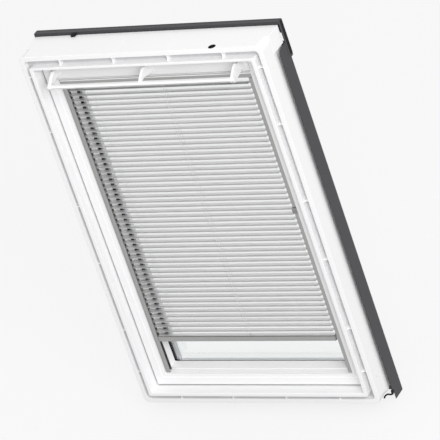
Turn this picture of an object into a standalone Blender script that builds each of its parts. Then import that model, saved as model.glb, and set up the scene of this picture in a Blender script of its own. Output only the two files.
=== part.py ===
# Centre-pivot roof window with its aluminium venetian blind.
# Metres, +Z up the slope, -Y towards the room, +X to the right as seen from the room.
# The pieces are drawn with Y = 0 on the plane of the front lip. The whole window is then moved
# so that the origin lies on the frame's bottom face, where that face rests on the roof.
import math

import bmesh
import bpy

MM = 0.001

# Overall sizes of the outer frame
WIDTH = 780 * MM
HEIGHT = 1178 * MM
GAP = 0.3 * MM  # between pieces that touch
ORIGIN_DEPTH = 60 * MM

# Outer frame section, measured inwards from the outer face and back from the lip
WALL_FRONT = 8 * MM
WALL = 14 * MM
GROOVE = 14 * MM
GROOVE_DEPTH = 26 * MM
TOP_GROOVE_EXTRA = 3.7 * MM
FRAME_INSET = 40 * MM
LIP_CHAMFER = 3 * MM
FRAME_REACH = 9.7 * MM  # past the back of the sash
CLADDING_STEP = 4 * MM
CLADDING_FRONT = 76 * MM
STEP_RISE = 1 * MM
VENT_HOLE_RADIUS = 11 * MM
VENT_HOLE_DEEP = 10 * MM
VENT_HOLE_FROM_RIGHT = 158 * MM
VENT_HOLE_BACK = 21 * MM

# Sash section
RUNNING_GAP = 3.5 * MM
SASH_FRONT = 38 * MM
SASH_STEP = 2.2 * MM
SASH_STEP_INSET = 24 * MM
SASH_CHAMFER = 2 * MM
EDGE_ROUND = 1.2 * MM
SASH_FACE = 36.5 * MM
SASH_BOTTOM_FACE = 34 * MM
SASH_TOP_FACE = 52.5 * MM
SHELF = 10 * MM
BOTTOM_SHELF_INSET = 40 * MM
BOTTOM_SHELF = 2 * MM
TOP_SHELF = 1 * MM
SILL_RISE = 8.5 * MM
REBATE = 16.5 * MM
SHELF_SPAN = 28 * MM  # from the shelf back to the glass
GLASS_THICK = 23.7 * MM
SASH_COVER = 5.7 * MM
SASH_COVER_LIP = 2 * MM
SASH_COVER_WIDTH = 50 * MM
SASH_COVER_SLOPE = 5 * MM

# Sash pivot, at half height in the middle of the sash's depth
PIVOT_DEPTH = 75 * MM
PIN_RADIUS = 7 * MM
PIN_LENGTH = 9.5 * MM
PIN_OVERLAP = 3 * MM

# Outside cladding of the frame
COVER_SIDE = 4 * MM
COVER_REACH = 11.3 * MM
SHEET = 1.6 * MM
COVER_SHY = 2 * MM  # short of the frame's opening
COVER_TOP_DROP = 60 * MM
COVER_HANG = 38 * MM
COVER_FOOT = 10 * MM
COVER_FOOT_FRONT = 86 * MM
HOOD_RISE = 9 * MM
HOOD_DROP = 36 * MM
HOOD_REACH = 20.8 * MM
HOOD_SHEET = 8 * MM
HOOD_ARM = 115 * MM
HOOD_ARM_THICK = 3 * MM
HOOD_ARM_OUT = 1.2 * MM
TUCK = 0.7 * MM

# Vent flap, control bar and their arms
FLAP_INSET = 34 * MM
FLAP_SET_BACK = 0.5 * MM
FLAP_THICK = 8 * MM
FLAP_BOTTOM_DROP = 50 * MM
FLAP_BOTTOM_GAP = 1 * MM
FLAP_TOP_GAP = 1 * MM
FLAP_AXIS_BACK = 5.5 * MM
FLAP_AXIS_RISE = 4.5 * MM
FLAP_ROUND = 5 * MM
FLAP_PIN_RADIUS = 2.2 * MM
FLAP_PIN_LENGTH = 4.5 * MM
FLAP_RECESS_SIDE = 1.5 * MM
FLAP_RECESS_BACK = 2.5 * MM
BAR_REACH = 64.5 * MM
BAR_RISE = 14.5 * MM
BAR_HALF_DEPTH = 9 * MM
BAR_HALF_HEIGHT = 5.5 * MM
BAR_INSET = 12.5 * MM
BAR_SIDES = 16
END_ARM_WIDTH = 12 * MM
MIDDLE_ARM_WIDTH = 7.5 * MM
ARM_TOP_DROP = 1.5 * MM
ARM_SWEEP = 40 * MM
ARM_STEPS = 6
ARM_HEEL = 9 * MM
ARM_UNDERCUT = 46 * MM
ARM_UNDERCUT_RISE = 18 * MM

# Blind: side rails, headrail, slats, bottom rail and tilt slider
RAIL_SET_BACK = 8.5 * MM
RAIL_DEPTH = 13.2 * MM
RAIL_WIDTH = 14.8 * MM
SLOT_WIDTH = 9 * MM
SLOT_DEPTH = 9.8 * MM
RAIL_FOOT_LIFT = 0.6 * MM
HEADRAIL_HEIGHT = 20.2 * MM
HEADRAIL_WALL = 1.6 * MM
SLAT_SET_BACK = 6.5 * MM
SLAT_COUNT = 49
SLAT_WIDTH = 20 * MM
SLAT_CROWN = 1.6 * MM
SLAT_THICK = 0.6 * MM
SLAT_REST_TILT = 5
FIRST_SLAT_DROP = 17.4 * MM
SLAT_END_GAP = 3.4 * MM
PLUG_CLEARANCE = 0.3 * MM
PLUG_REACH = 4 * MM
BOTTOM_RAIL_DROP = 25.5 * MM
BLIND_STOP = 155.7 * MM  # bottom rail above the sash's lower edge
BOTTOM_RAIL_HEIGHT = 15.5 * MM
BOTTOM_RAIL_WIDTH = 21 * MM
BOTTOM_RAIL_CROWN = 2 * MM
GUIDE_HEIGHT = 10 * MM
SLIDER_HEIGHT = 18 * MM
SLIDER_RISE = 40 * MM
SLIDER_THICK = 5.5 * MM
SLIDER_LEG = 2.6 * MM
SLIDER_LEG_REACH = 1.8 * MM
SLIDER_RIDGE = 1.5 * MM

# Places worked out from the sizes above
MID_HEIGHT = HEIGHT / 2
OPENING_HALF = WIDTH / 2 - FRAME_INSET
SASH_HALF = OPENING_HALF - RUNNING_GAP
SASH_BOTTOM = FRAME_INSET + RUNNING_GAP
SASH_TOP = HEIGHT - FRAME_INSET - RUNNING_GAP
STILE_INNER = SASH_HALF - SASH_FACE
RAIL_FRONT = SASH_FRONT + RAIL_SET_BACK
RAIL_BACK = RAIL_FRONT + RAIL_DEPTH
SHELF_DEPTH = RAIL_BACK + GAP
GLASS_FRONT = SHELF_DEPTH + SHELF_SPAN
SASH_DEPTH = GLASS_FRONT + GLASS_THICK + GAP
FRAME_DEPTH = SASH_DEPTH + FRAME_REACH
COVER_BACK = FRAME_DEPTH + COVER_REACH
COVER_INSET = FRAME_INSET - COVER_SHY
HOOD_BACK = FRAME_DEPTH + HOOD_REACH
RAIL_OUTER = STILE_INNER - GAP
RAIL_INNER = RAIL_OUTER - RAIL_WIDTH
FLAP_HALF = SASH_HALF - FLAP_INSET
FLAP_FRONT = SASH_FRONT + FLAP_SET_BACK
FLAP_AXIS_DEPTH = FLAP_FRONT + FLAP_AXIS_BACK
FLAP_BOTTOM = SASH_TOP - FLAP_BOTTOM_DROP
FLAP_AXIS_Z = FLAP_BOTTOM + FLAP_AXIS_RISE
HEADRAIL_TOP = SASH_TOP - SASH_TOP_FACE - TOP_SHELF - GAP
HEADRAIL_BOTTOM = HEADRAIL_TOP - HEADRAIL_HEIGHT
FIRST_SLAT_Z = HEADRAIL_BOTTOM - FIRST_SLAT_DROP
SLAT_HALF = RAIL_INNER - SLAT_END_GAP
PLUG_HALF = RAIL_INNER + PLUG_REACH
PLUG_RADIUS = SLOT_WIDTH / 2 - PLUG_CLEARANCE
BOTTOM_RAIL_Z = SASH_BOTTOM + BLIND_STOP
LAST_SLAT_Z = BOTTOM_RAIL_Z + BOTTOM_RAIL_DROP
SLAT_PITCH = (FIRST_SLAT_Z - LAST_SLAT_Z) / (SLAT_COUNT - 1)
SLAT_DEPTH = RAIL_FRONT + SLAT_SET_BACK
SLIDER_Z = MID_HEIGHT + SLIDER_RISE
BAR_Z = FLAP_BOTTOM + BAR_RISE
BAR_DEPTH = FLAP_FRONT - BAR_REACH
BAR_HALF = FLAP_HALF - BAR_INSET


def clear_scene():
    for item in list(bpy.data.objects):
        bpy.data.objects.remove(item, do_unlink=True)


def finish(name, colour, roughness, metallic=0.0):
    """A plain Principled material; colour is linear RGB."""
    made = bpy.data.materials.new(name)
    made.use_nodes = True
    shader = made.node_tree.nodes["Principled BSDF"]
    shader.inputs["Base Color"].default_value = (*colour, 1.0)
    shader.inputs["Roughness"].default_value = roughness
    shader.inputs["Metallic"].default_value = metallic
    return made


def white_lacquer():
    return finish("white_lacquer", (0.88, 0.88, 0.88), 0.35)


def grey_cover_sheet():
    return finish("grey_cover_sheet", (0.085, 0.087, 0.095), 0.5, 0.3)


def pale_glass():
    return finish("pale_glass", (0.80, 0.86, 0.88), 0.05)


def satin_aluminium():
    return finish("satin_aluminium", (0.45, 0.45, 0.44), 0.4, 0.8)


def slat_enamel():
    return finish("slat_enamel", (0.60, 0.60, 0.58), 0.45, 0.5)


def slider_plastic():
    return finish("slider_plastic", (0.22, 0.22, 0.22), 0.5)


def new_object(name, mesh_builder, material=None, smooth_angle=None):
    """An object whose mesh comes from a closed bmesh, with its faces turned outwards."""
    bmesh.ops.recalc_face_normals(mesh_builder, faces=mesh_builder.faces[:])
    mesh = bpy.data.meshes.new(name)
    mesh_builder.to_mesh(mesh)
    mesh_builder.free()
    if material:
        mesh.materials.append(material)
    if smooth_angle:
        mesh.shade_smooth()
        mesh.set_sharp_from_angle(angle=math.radians(smooth_angle))
    made = bpy.data.objects.new(name, mesh)
    bpy.context.scene.collection.objects.link(made)
    return made


def prism(name, outline, axis, start, end, material=None):
    """An outline in the plane across an axis, extruded along it from start to end."""
    order = {"x": (2, 0, 1), "y": (0, 2, 1), "z": (0, 1, 2)}[axis]
    work = bmesh.new()
    corners = []
    for first, second in outline:
        place = (first, second, start)
        corners.append(work.verts.new([place[i] for i in order]))
    face = work.faces.new(corners)
    grown = bmesh.ops.extrude_face_region(work, geom=[face])
    moved = [v for v in grown["geom"] if isinstance(v, bmesh.types.BMVert)]
    shift = [0.0, 0.0, 0.0]
    shift["xyz".index(axis)] = end - start
    bmesh.ops.translate(work, verts=moved, vec=shift)
    return new_object(name, work, material)


def box(name, low, high, material=None):
    outline = [(low[0], low[1]), (high[0], low[1]), (high[0], high[1]), (low[0], high[1])]
    return prism(name, outline, "z", low[2], high[2], material)


def ring(name, half_width, bottom, top, section, material):
    """A mitred four-sided frame. A section row is (side, bottom and top inset, depth)."""
    work = bmesh.new()
    loops = []
    for across, up in ((-1, 0), (1, 0), (1, 1), (-1, 1)):
        loop = []
        for side, low, high, depth in section:
            z = top - high if up else bottom + low
            loop.append(work.verts.new((across * (half_width - side), depth, z)))
        loops.append(loop)
    count = len(section)
    for corner in range(4):
        here, there = loops[corner], loops[(corner + 1) % 4]
        for k in range(count):
            after = (k + 1) % count
            work.faces.new((here[k], here[after], there[after], there[k]))
    return new_object(name, work, material)


def loft(name, sections, material=None, smooth_angle=None):
    """Closed outlines across X with as many points each, joined one after another and capped."""
    work = bmesh.new()
    loops = []
    for x, outline in sections:
        loops.append([work.verts.new((x, y, z)) for y, z in outline])
    count = len(loops[0])
    for here, there in zip(loops, loops[1:]):
        for k in range(count):
            after = (k + 1) % count
            work.faces.new((here[k], here[after], there[after], there[k]))
    work.faces.new(loops[0])
    work.faces.new(loops[-1])
    return new_object(name, work, material, smooth_angle)


def round_outline(half_depth, half_height, sides, centre=(0.0, 0.0)):
    """Points of an ellipse across X, starting at the back."""
    points = []
    for k in range(sides):
        turn = 2 * math.pi * k / sides
        points.append(
            (centre[0] + half_depth * math.cos(turn), centre[1] + half_height * math.sin(turn))
        )
    return points


def pin(name, radius, sides, start, end, centre):
    return prism(name, round_outline(radius, radius, sides, centre), "x", start, end)


def combine(target, tool, operation):
    """A Boolean kept on the target; the tool stays as a hidden guide that moves with it."""
    step = target.modifiers.new(tool.name, "BOOLEAN")
    step.operation = operation
    step.solver = "EXACT"
    step.object = tool
    tool.parent = target
    tool.hide_render = True
    tool.display_type = "WIRE"


def hold(child, holder):
    """Parent a piece to an empty that isn't turned, and keep it where it is."""
    child.location = child.location - holder.location
    child.parent = holder


def recentre(item, place):
    """Move an object's origin to a point without moving its shape."""
    for vertex in item.data.vertices:
        vertex.co = [value - start for value, start in zip(vertex.co, place)]
    item.location = place


def empty(name, place):
    made = bpy.data.objects.new(name, None)
    made.location = place
    bpy.context.scene.collection.objects.link(made)
    return made


def outer_frame(material):
    """The moulded frame: a front lip, a groove for the lining and the outer wall."""
    lip = WALL + GROOVE
    wall_rows = [(0, WALL_FRONT), (WALL, WALL_FRONT), (WALL, GROOVE_DEPTH)]
    lip_rows = [
        (FRAME_INSET - LIP_CHAMFER, 0),
        (FRAME_INSET, LIP_CHAMFER),
        (FRAME_INSET, FRAME_DEPTH),
    ]
    section = [(inset, inset, inset, depth) for inset, depth in wall_rows]
    section += [(lip, lip, lip + TOP_GROOVE_EXTRA, depth) for depth in (GROOVE_DEPTH, 0)]
    section += [(inset, inset, inset, depth) for inset, depth in lip_rows]
    section.append((CLADDING_STEP, 0, 0, FRAME_DEPTH))
    section.append((CLADDING_STEP, 0, 0, CLADDING_FRONT + STEP_RISE))
    section.append((0, 0, 0, CLADDING_FRONT))
    made = ring("outer_frame", WIDTH / 2, 0, HEIGHT, section, material)
    for side in (-1, 1):
        socket = pin(
            f"socket_cutter_{side}",
            PIN_RADIUS + GAP,
            16,
            side * (OPENING_HALF - PIN_OVERLAP),
            side * (SASH_HALF + PIN_LENGTH + GAP),
            (PIVOT_DEPTH, MID_HEIGHT),
        )
        combine(made, socket, "DIFFERENCE")
    centre = (WIDTH / 2 - VENT_HOLE_FROM_RIGHT, VENT_HOLE_BACK)
    outline = round_outline(VENT_HOLE_RADIUS, VENT_HOLE_RADIUS, 24, centre)
    top = HEIGHT + VENT_HOLE_DEEP
    hole = prism("vent_hole_cutter", outline, "z", HEIGHT - VENT_HOLE_DEEP, top)
    combine(made, hole, "DIFFERENCE")
    return made


def cover_side(name, side, low, high, front, shy=0.0):
    """One folded side cover: a flange on the frame's step, an outer wall and a back wall."""
    outer = WIDTH / 2 + COVER_SIDE - shy
    back = COVER_BACK - shy
    seat = WIDTH / 2 - CLADDING_STEP + GAP
    inner = WIDTH / 2 - COVER_INSET
    outline = [
        (seat, front),
        (outer, front),
        (outer, back),
        (inner, back),
        (inner, back - SHEET),
        (outer - SHEET, back - SHEET),
        (outer - SHEET, front + SHEET),
        (seat, front + SHEET),
    ]
    return prism(name, [(side * x, y) for x, y in outline], "z", low, high)


def frame_cladding(material):
    """The outside covers of the frame: hood, side covers with their feet and bottom cover."""
    front = FRAME_DEPTH + GAP
    hood_top = HEIGHT + HOOD_RISE
    outline = [
        (front, HEIGHT - TUCK),
        (front, hood_top),
        (HOOD_BACK, hood_top),
        (HOOD_BACK, HEIGHT - HOOD_DROP),
        (HOOD_BACK - HOOD_SHEET, HEIGHT - HOOD_DROP),
        (HOOD_BACK - HOOD_SHEET, HEIGHT - TUCK),
    ]
    half = WIDTH / 2 + COVER_SIDE - TUCK
    made = prism("frame_cladding", outline, "x", -half, half, material)
    cover_front = CLADDING_FRONT + STEP_RISE + GAP
    for side in (-1, 1):
        cover = cover_side(
            f"side_cover_{side}", side, -COVER_FOOT, HEIGHT - COVER_TOP_DROP, cover_front
        )
        combine(made, cover, "UNION")
        foot = cover_side(
            f"cover_foot_{side}", side, -COVER_HANG, COVER_FOOT, COVER_FOOT_FRONT, shy=GAP
        )
        combine(made, foot, "UNION")
        outer = WIDTH / 2 + COVER_SIDE + HOOD_ARM_OUT
        arm = box(
            f"hood_arm_{side}",
            (min(side * outer, side * (outer - HOOD_ARM_THICK)), front + TUCK, HEIGHT - HOOD_ARM),
            (
                max(side * outer, side * (outer - HOOD_ARM_THICK)),
                HOOD_BACK + TUCK,
                hood_top - TUCK,
            ),
        )
        combine(made, arm, "UNION")
    apron = [
        (front, COVER_INSET),
        (COVER_BACK - TUCK, COVER_INSET),
        (COVER_BACK - TUCK, -COVER_HANG + TUCK),
        (COVER_BACK - TUCK - SHEET, -COVER_HANG + TUCK),
        (COVER_BACK - TUCK - SHEET, COVER_INSET - SHEET),
        (front, COVER_INSET - SHEET),
    ]
    half = WIDTH / 2 + COVER_SIDE - SHEET / 2
    bottom = prism("bottom_cover", apron, "x", -half, half)
    combine(made, bottom, "UNION")
    return made


def sash_frame(material):
    """The sash: stepped front face, sloping sill, shelf for the rails and glazing rebate."""
    shelf_side = SASH_FACE + SHELF
    shelf_low = BOTTOM_SHELF_INSET + BOTTOM_SHELF
    shelf_high = SASH_TOP_FACE + TOP_SHELF
    sill = shelf_low + SILL_RISE
    step_end = SASH_STEP_INSET + SASH_STEP
    face = SASH_FRONT + SASH_STEP
    glass_seat = GLASS_FRONT - GAP
    section = [
        (0, 0, 0, SASH_FRONT + SASH_CHAMFER),
        (SASH_CHAMFER, SASH_CHAMFER, SASH_CHAMFER, SASH_FRONT),
        (SASH_STEP_INSET, SASH_STEP_INSET, SASH_STEP_INSET, SASH_FRONT),
        (step_end, step_end, step_end, face),
        (SASH_FACE - EDGE_ROUND, SASH_BOTTOM_FACE - EDGE_ROUND, SASH_TOP_FACE - EDGE_ROUND, face),
        (SASH_FACE, SASH_BOTTOM_FACE, SASH_TOP_FACE, face + EDGE_ROUND),
        (SASH_FACE, BOTTOM_SHELF_INSET, SASH_TOP_FACE, SHELF_DEPTH),
        (shelf_side, shelf_low, shelf_high, SHELF_DEPTH),
        (shelf_side, sill, shelf_high, glass_seat),
        (shelf_side - REBATE, sill - REBATE, shelf_high - REBATE, glass_seat),
        (shelf_side - REBATE, sill - REBATE, shelf_high - REBATE, SASH_DEPTH),
        (0, 0, 0, SASH_DEPTH),
    ]
    made = ring("sash_frame", SASH_HALF, SASH_BOTTOM, SASH_TOP, section, material)
    recess = box(
        "flap_recess_cutter",
        (
            -FLAP_HALF - FLAP_RECESS_SIDE,
            SASH_FRONT - FLAP_THICK,
            FLAP_BOTTOM - FLAP_BOTTOM_GAP,
        ),
        (
            FLAP_HALF + FLAP_RECESS_SIDE,
            FLAP_FRONT + FLAP_THICK + FLAP_RECESS_BACK,
            SASH_TOP + FLAP_THICK,
        ),
    )
    combine(made, recess, "DIFFERENCE")
    for side in (-1, 1):
        bore = pin(
            f"flap_bore_cutter_{side}",
            FLAP_PIN_RADIUS + GAP,
            12,
            side * FLAP_HALF,
            side * (FLAP_HALF + FLAP_PIN_LENGTH + GAP),
            (FLAP_AXIS_DEPTH, FLAP_AXIS_Z),
        )
        combine(made, bore, "DIFFERENCE")
        pivot = pin(
            f"pivot_pin_{side}",
            PIN_RADIUS,
            16,
            side * (SASH_HALF - PIN_OVERLAP),
            side * (SASH_HALF + PIN_LENGTH),
            (PIVOT_DEPTH, MID_HEIGHT),
        )
        combine(made, pivot, "UNION")
    return made


def sash_cladding(material):
    """The outside cover of the sash, which holds the glass in its rebate."""
    near = SASH_DEPTH + GAP
    rows = [
        (0, near),
        (SASH_COVER_WIDTH, near),
        (SASH_COVER_WIDTH, near + SASH_COVER_LIP),
        (SASH_COVER_WIDTH - SASH_COVER_SLOPE, near + SASH_COVER),
        (0, near + SASH_COVER),
    ]
    section = [(inset, inset, inset, depth) for inset, depth in rows]
    return ring("sash_cladding", SASH_HALF, SASH_BOTTOM, SASH_TOP, section, material)


def glass_unit(material):
    shelf_side = SASH_FACE + SHELF
    sill = BOTTOM_SHELF_INSET + BOTTOM_SHELF + SILL_RISE
    head = SASH_TOP_FACE + TOP_SHELF
    half = SASH_HALF - shelf_side + REBATE - GAP
    low = (-half, GLASS_FRONT, SASH_BOTTOM + sill - REBATE + GAP)
    high = (half, SASH_DEPTH - GAP, SASH_TOP - head + REBATE - GAP)
    return box("glass_unit", low, high, material)


def arm(name, start, width):
    """A curved arm: level from the flap's face, then a quarter ellipse down to the bar."""
    top = SASH_TOP - FLAP_TOP_GAP - ARM_TOP_DROP
    front = BAR_DEPTH - BAR_HALF_DEPTH - GAP
    root = FLAP_FRONT + FLAP_THICK / 2
    heel = BAR_Z - ARM_HEEL
    upper = [(root, top)]
    for k in range(ARM_STEPS + 1):
        turn = math.pi / 2 * (1 + k / ARM_STEPS)
        upper.append(
            (
                front + ARM_SWEEP * (1 + math.cos(turn)),
                BAR_Z + (top - BAR_Z) * math.sin(turn),
            )
        )
    lower = [(front + GAP, BAR_Z - BAR_HALF_HEIGHT)]
    centre = BAR_DEPTH + BAR_HALF_DEPTH + ARM_UNDERCUT
    last = math.acos((root - centre) / ARM_UNDERCUT)
    for k in range(ARM_STEPS + 1):
        turn = math.pi + (last - math.pi) * k / ARM_STEPS
        lower.append(
            (centre + ARM_UNDERCUT * math.cos(turn), heel + ARM_UNDERCUT_RISE * math.sin(turn))
        )
    return prism(name, upper + lower, "x", start, start + width)


def control_bar(material):
    """The vent flap, the bar that is pulled and the three arms between them, as one casting."""
    flap_top = SASH_TOP - FLAP_TOP_GAP
    back = FLAP_FRONT + FLAP_THICK
    outline = [(back, FLAP_BOTTOM), (back, flap_top), (FLAP_FRONT, flap_top)]
    for k in range(4):
        turn = math.radians(30 * k)
        outline.append(
            (
                FLAP_FRONT + FLAP_ROUND * (1 - math.cos(turn)),
                FLAP_BOTTOM + FLAP_ROUND * (1 - math.sin(turn)),
            )
        )
    made = prism("control_bar", outline, "x", -FLAP_HALF, FLAP_HALF, material)
    bar_outline = round_outline(
        BAR_HALF_DEPTH, BAR_HALF_HEIGHT, BAR_SIDES, (BAR_DEPTH, BAR_Z)
    )
    grip = prism("bar_grip", bar_outline, "x", -BAR_HALF, BAR_HALF)
    arms = [
        arm("arm_left", -BAR_HALF + GAP, END_ARM_WIDTH),
        arm("arm_middle", -MIDDLE_ARM_WIDTH / 2, MIDDLE_ARM_WIDTH),
        arm("arm_right", BAR_HALF - END_ARM_WIDTH - GAP, END_ARM_WIDTH),
    ]
    for piece in arms:
        combine(made, piece, "UNION")
    combine(made, grip, "UNION")
    for side in (-1, 1):
        trunnion = pin(
            f"flap_pin_{side}",
            FLAP_PIN_RADIUS,
            12,
            side * (FLAP_HALF - PIN_OVERLAP),
            side * (FLAP_HALF + FLAP_PIN_LENGTH),
            (FLAP_AXIS_DEPTH, FLAP_AXIS_Z),
        )
        combine(made, trunnion, "UNION")
    return made


def headrail(material):
    """An open-topped channel that holds the lift and ladder cords."""
    front, back = RAIL_FRONT, RAIL_BACK
    wall = HEADRAIL_WALL
    outline = [
        (front, HEADRAIL_BOTTOM),
        (back, HEADRAIL_BOTTOM),
        (back, HEADRAIL_TOP),
        (back - wall, HEADRAIL_TOP),
        (back - wall, HEADRAIL_BOTTOM + wall),
        (front + wall, HEADRAIL_BOTTOM + wall),
        (front + wall, HEADRAIL_TOP),
        (front, HEADRAIL_TOP),
    ]
    return prism("headrail", outline, "x", -RAIL_OUTER, RAIL_OUTER, material)


def guide_rail(name, side, material):
    """A channel with its slot towards the slats; its foot follows the slope of the sill."""
    slot_front = SLAT_DEPTH - SLOT_WIDTH / 2
    slot_back = SLAT_DEPTH + SLOT_WIDTH / 2
    slot_floor = RAIL_INNER + SLOT_DEPTH
    outline = [
        (RAIL_OUTER, RAIL_FRONT),
        (RAIL_INNER, RAIL_FRONT),
        (RAIL_INNER, slot_front),
        (slot_floor, slot_front),
        (slot_floor, slot_back),
        (RAIL_INNER, slot_back),
        (RAIL_INNER, RAIL_BACK),
        (RAIL_OUTER, RAIL_BACK),
    ]
    slope_start = SASH_FRONT + SASH_STEP + EDGE_ROUND
    slope = (BOTTOM_SHELF_INSET - SASH_BOTTOM_FACE) / (SHELF_DEPTH - slope_start)
    foot = SASH_BOTTOM + SASH_BOTTOM_FACE + RAIL_FOOT_LIFT
    points = [(side * x, y) for x, y in outline]
    made = prism(name, points, "z", foot, HEADRAIL_BOTTOM - GAP, material)
    for vertex in made.data.vertices:
        if vertex.co.z < foot + GAP:
            vertex.co.z += slope * (vertex.co.y - slope_start)
    return made


def slat_outline():
    """A crowned strip across X: five points along its top and five back along its underside."""
    turn = math.radians(-SLAT_REST_TILT)
    radius = (SLAT_WIDTH**2 / 4 + SLAT_CROWN**2) / (2 * SLAT_CROWN)
    top, under = [], []
    for k in range(5):
        across = SLAT_WIDTH * (0.5 - k / 4)
        rise = math.sqrt(radius**2 - across**2) - radius + SLAT_CROWN / 2
        top.append((across, rise + SLAT_THICK / 2))
        under.append((across, rise - SLAT_THICK / 2))
    points = top + under[::-1]
    return [
        (y * math.cos(turn) - z * math.sin(turn), y * math.sin(turn) + z * math.cos(turn))
        for y, z in points
    ]


def slat_mesh_object(material):
    """One slat with a round plug at each end that rides in the rail's slot."""
    strip = slat_outline()
    plug = round_outline(PLUG_RADIUS, PLUG_RADIUS, len(strip))
    shoulder = SLAT_HALF + GAP
    sections = [
        (-PLUG_HALF, plug),
        (-shoulder, plug),
        (-SLAT_HALF, strip),
        (SLAT_HALF, strip),
        (shoulder, plug),
        (PLUG_HALF, plug),
    ]
    return loft("slat_01", sections, material, smooth_angle=40)


def slats(material):
    """Equal slats down the blind, each with its origin on its own tilt axis."""
    first = slat_mesh_object(material)
    made = [first]
    for number in range(2, SLAT_COUNT + 1):
        copy = bpy.data.objects.new(f"slat_{number:02d}", first.data)
        bpy.context.scene.collection.objects.link(copy)
        made.append(copy)
    for number, slat in enumerate(made):
        slat.location = (0, SLAT_DEPTH, FIRST_SLAT_Z - number * SLAT_PITCH)
    return made


def bottom_rail(material):
    """The rail that gathers the slats, with a guide block at each end in the rail's slot."""
    half_width = BOTTOM_RAIL_WIDTH / 2
    half_height = BOTTOM_RAIL_HEIGHT / 2
    edge = 2 * EDGE_ROUND
    body = [
        (half_width, -half_height + edge),
        (half_width, half_height - edge),
        (half_width - edge, half_height),
        (0, half_height + BOTTOM_RAIL_CROWN),
        (-half_width + edge, half_height),
        (-half_width, half_height - edge),
        (-half_width, -half_height + edge),
        (-half_width + edge, -half_height),
        (0, -half_height),
        (half_width - edge, -half_height),
    ]
    guide = round_outline(PLUG_RADIUS, GUIDE_HEIGHT / 2, len(body))
    shoulder = SLAT_HALF + GAP
    turned = guide[-1:] + guide[:-1]
    sections = [
        (-PLUG_HALF, turned),
        (-shoulder, turned),
        (-SLAT_HALF, body),
        (SLAT_HALF, body),
        (shoulder, turned),
        (PLUG_HALF, turned),
    ]
    made = loft("bottom_rail", sections, material, smooth_angle=40)
    made.location = (0, SLAT_DEPTH, BOTTOM_RAIL_Z)
    return made


def tilt_slider(material):
    """A finger slide that clasps the right rail; moving it turns the slats."""
    back = RAIL_FRONT - GAP
    front = back - SLIDER_THICK
    inner = RAIL_INNER - GAP
    leg = inner - SLIDER_LEG
    outline = [
        (leg, front + SLIDER_RIDGE),
        (leg + SLIDER_RIDGE, front),
        (RAIL_OUTER, front),
        (RAIL_OUTER, back),
        (inner, back),
        (inner, back + SLIDER_LEG_REACH),
        (leg, back + SLIDER_LEG_REACH),
    ]
    low = SLIDER_Z - SLIDER_HEIGHT / 2
    made = prism("tilt_slider", outline, "z", low, low + SLIDER_HEIGHT, material)
    recentre(made, (RAIL_INNER, RAIL_FRONT, SLIDER_Z))
    return made


def main():
    clear_scene()
    white = white_lacquer()
    cover = grey_cover_sheet()
    aluminium = satin_aluminium()
    frame_origin = empty("frame_origin", (0, 0, 0))
    sash_pivot = empty("sash_pivot", (0, PIVOT_DEPTH, MID_HEIGHT))
    flap_pivot = empty("flap_pivot", (0, FLAP_AXIS_DEPTH, FLAP_AXIS_Z))
    bpy.context.view_layer.update()
    for piece in (outer_frame(white), frame_cladding(cover)):
        hold(piece, frame_origin)
    hold(control_bar(white), flap_pivot)
    sash_pieces = [
        sash_frame(white),
        sash_cladding(cover),
        glass_unit(pale_glass()),
        headrail(aluminium),
        guide_rail("guide_rail_left", -1, aluminium),
        guide_rail("guide_rail_right", 1, aluminium),
        bottom_rail(aluminium),
        tilt_slider(slider_plastic()),
        *slats(slat_enamel()),
    ]
    for piece in sash_pieces:
        hold(piece, sash_pivot)
    hold(flap_pivot, sash_pivot)
    hold(sash_pivot, frame_origin)
    frame_origin.location.y = -ORIGIN_DEPTH


main()
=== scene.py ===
"""A white centre-pivot roof window, its grey outer covers, top control bar and venetian blind.

Shapes are worked out in millimetres as (x, depth, z): x to the right as seen from the room, depth
back from the plane of the front lip, z up the slope. to_row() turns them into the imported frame.
"""

import math

import bpy
import numpy as np
from mathutils import Matrix, Quaternion, Vector


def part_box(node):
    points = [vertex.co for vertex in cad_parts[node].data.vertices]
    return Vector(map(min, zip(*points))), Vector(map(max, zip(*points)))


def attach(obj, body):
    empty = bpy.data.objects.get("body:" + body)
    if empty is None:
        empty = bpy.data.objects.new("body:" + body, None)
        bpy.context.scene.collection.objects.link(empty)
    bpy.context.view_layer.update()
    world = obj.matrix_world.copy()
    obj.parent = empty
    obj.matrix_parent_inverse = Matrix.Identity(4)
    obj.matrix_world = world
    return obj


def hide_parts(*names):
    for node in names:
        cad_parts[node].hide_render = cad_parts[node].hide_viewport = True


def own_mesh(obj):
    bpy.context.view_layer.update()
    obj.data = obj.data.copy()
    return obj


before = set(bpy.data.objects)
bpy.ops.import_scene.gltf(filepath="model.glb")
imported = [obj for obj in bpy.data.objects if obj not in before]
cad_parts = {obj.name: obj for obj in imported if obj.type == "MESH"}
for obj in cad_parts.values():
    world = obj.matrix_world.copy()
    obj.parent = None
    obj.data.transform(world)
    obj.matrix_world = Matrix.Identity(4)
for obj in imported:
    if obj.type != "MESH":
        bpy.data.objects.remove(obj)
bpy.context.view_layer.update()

MM = 0.001
LIP_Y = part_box("outer_frame")[0].y


def node_box(name):
    """Lowest and highest corner of a node, in millimetres as (x, depth, z)."""
    low, high = (np.array(corner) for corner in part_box(name))
    shift = np.array([0.0, LIP_Y, 0.0])
    return (low - shift) / MM, (high - shift) / MM


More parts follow.
